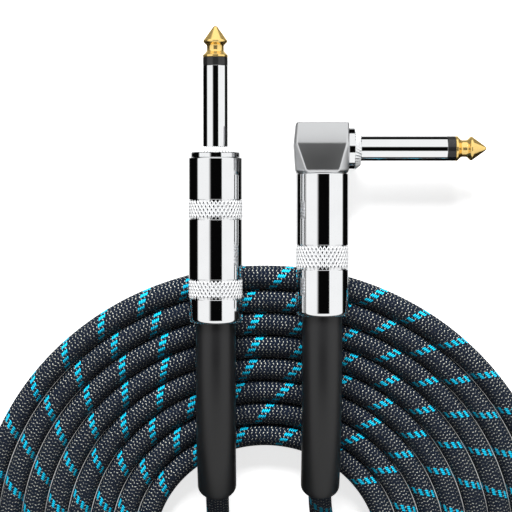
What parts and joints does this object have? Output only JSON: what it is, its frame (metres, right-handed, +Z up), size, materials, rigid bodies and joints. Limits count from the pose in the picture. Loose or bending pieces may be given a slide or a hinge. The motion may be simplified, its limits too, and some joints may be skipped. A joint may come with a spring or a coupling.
{
  "type": "instrument cable",
  "caption": "Instrument cable: a woven cord in a flat coil, with a straight and a right-angle 6.35 mm phone plug, knurled screw-on chrome shells and long rubber boots.",
  "frame": {"origin": "on the table under the centre of the two plugs' outline, without the cord", "axes": "+Z up, +Y towards the straight plug's tip, +X along the right-angle plug's shaft"},
  "size_m": [0.1589, 0.232, 0.0225],
  "materials": {
    "chrome": "polished mirror chrome plate",
    "satin_chrome": "fine satin chrome plate",
    "gold": "polished gold plate",
    "black_ring": "smooth black",
    "insulator": "moulded off-white",
    "tinned_lug": "tin plate",
    "liner_plastic": "smooth extruded",
    "boot_rubber": "satin black",
    "braid": "dark blue woven herringbone with light flecks and cyan tracers",
    "jacket_rubber": "matt black",
    "copper": "bare copper strand",
    "solder": "bright solder"
  },
  "bodies": {
    "cable": {"angle_boot": "boot_rubber", "angle_cable_cover": "braid", "angle_cable_jacket": "jacket_rubber", "angle_collar": "chrome", "angle_conductor": "copper", "angle_core": "insulator", "angle_ground_lug": "tinned_lug", "angle_ground_solder": "solder", "angle_head": "satin_chrome", "angle_inner_tube": "insulator", "angle_shield_tail": "copper", "angle_sleeve": "chrome", "angle_tip_contact": "gold", "angle_tip_lug": "tinned_lug", "angle_tip_ring": "black_ring", "angle_tip_solder": "solder", "angle_washer": "insulator", "cord_angle_tail": "braid", "cord_coil": "braid", "cord_straight_tail": "braid", "straight_boot": "boot_rubber", "straight_cable_cover": "braid", "straight_cable_jacket": "jacket_rubber", "straight_collar": "chrome", "straight_conductor": "copper", "straight_core": "insulator", "straight_ground_lug": "tinned_lug", "straight_ground_solder": "solder", "straight_inner_tube": "insulator", "straight_shield_tail": "copper", "straight_sleeve": "chrome", "straight_tip_contact": "gold", "straight_tip_lug": "tinned_lug", "straight_tip_ring": "black_ring", "straight_tip_solder": "solder", "straight_washer": "insulator"},
    "straight_liner_sleeve": {"straight_liner": "liner_plastic"},
    "angle_liner_sleeve": {"angle_liner": "liner_plastic"},
    "straight_shell": {"straight_barrel": "chrome"},
    "angle_shell": {"angle_barrel": "chrome"}
  },
  "joints": [
    {"name": "straight_shell_back", "type": "slide", "parent": "cable", "child": "straight_liner_sleeve", "axis": [0, -0.9857, 0.1685], "range_m": [0, 0.00481]},
    {"name": "straight_shell_unscrew", "type": "hinge", "parent": "straight_liner_sleeve", "child": "straight_shell", "pos_m": [-0.031, 0.0285, 0.00804], "axis": [0, -0.9857, 0.1685], "range_deg": [0, 2160]},
    {"name": "angle_shell_back", "type": "slide", "parent": "cable", "child": "angle_liner_sleeve", "axis": [0, -0.9826, 0.1857], "range_m": [0, 0.00481]},
    {"name": "angle_shell_unscrew", "type": "hinge", "parent": "angle_liner_sleeve", "child": "angle_shell", "pos_m": [-0.0038, 0.0245, 0.00825], "axis": [0, -0.9826, 0.1857], "range_deg": [0, 2160]}
  ],
  "couplings": [
    {"joint": "straight_shell_back", "follows": "straight_shell_unscrew", "m_per_rad": 0.00012732},
    {"joint": "angle_shell_back", "follows": "angle_shell_unscrew", "m_per_rad": 0.00012732}
  ]
}
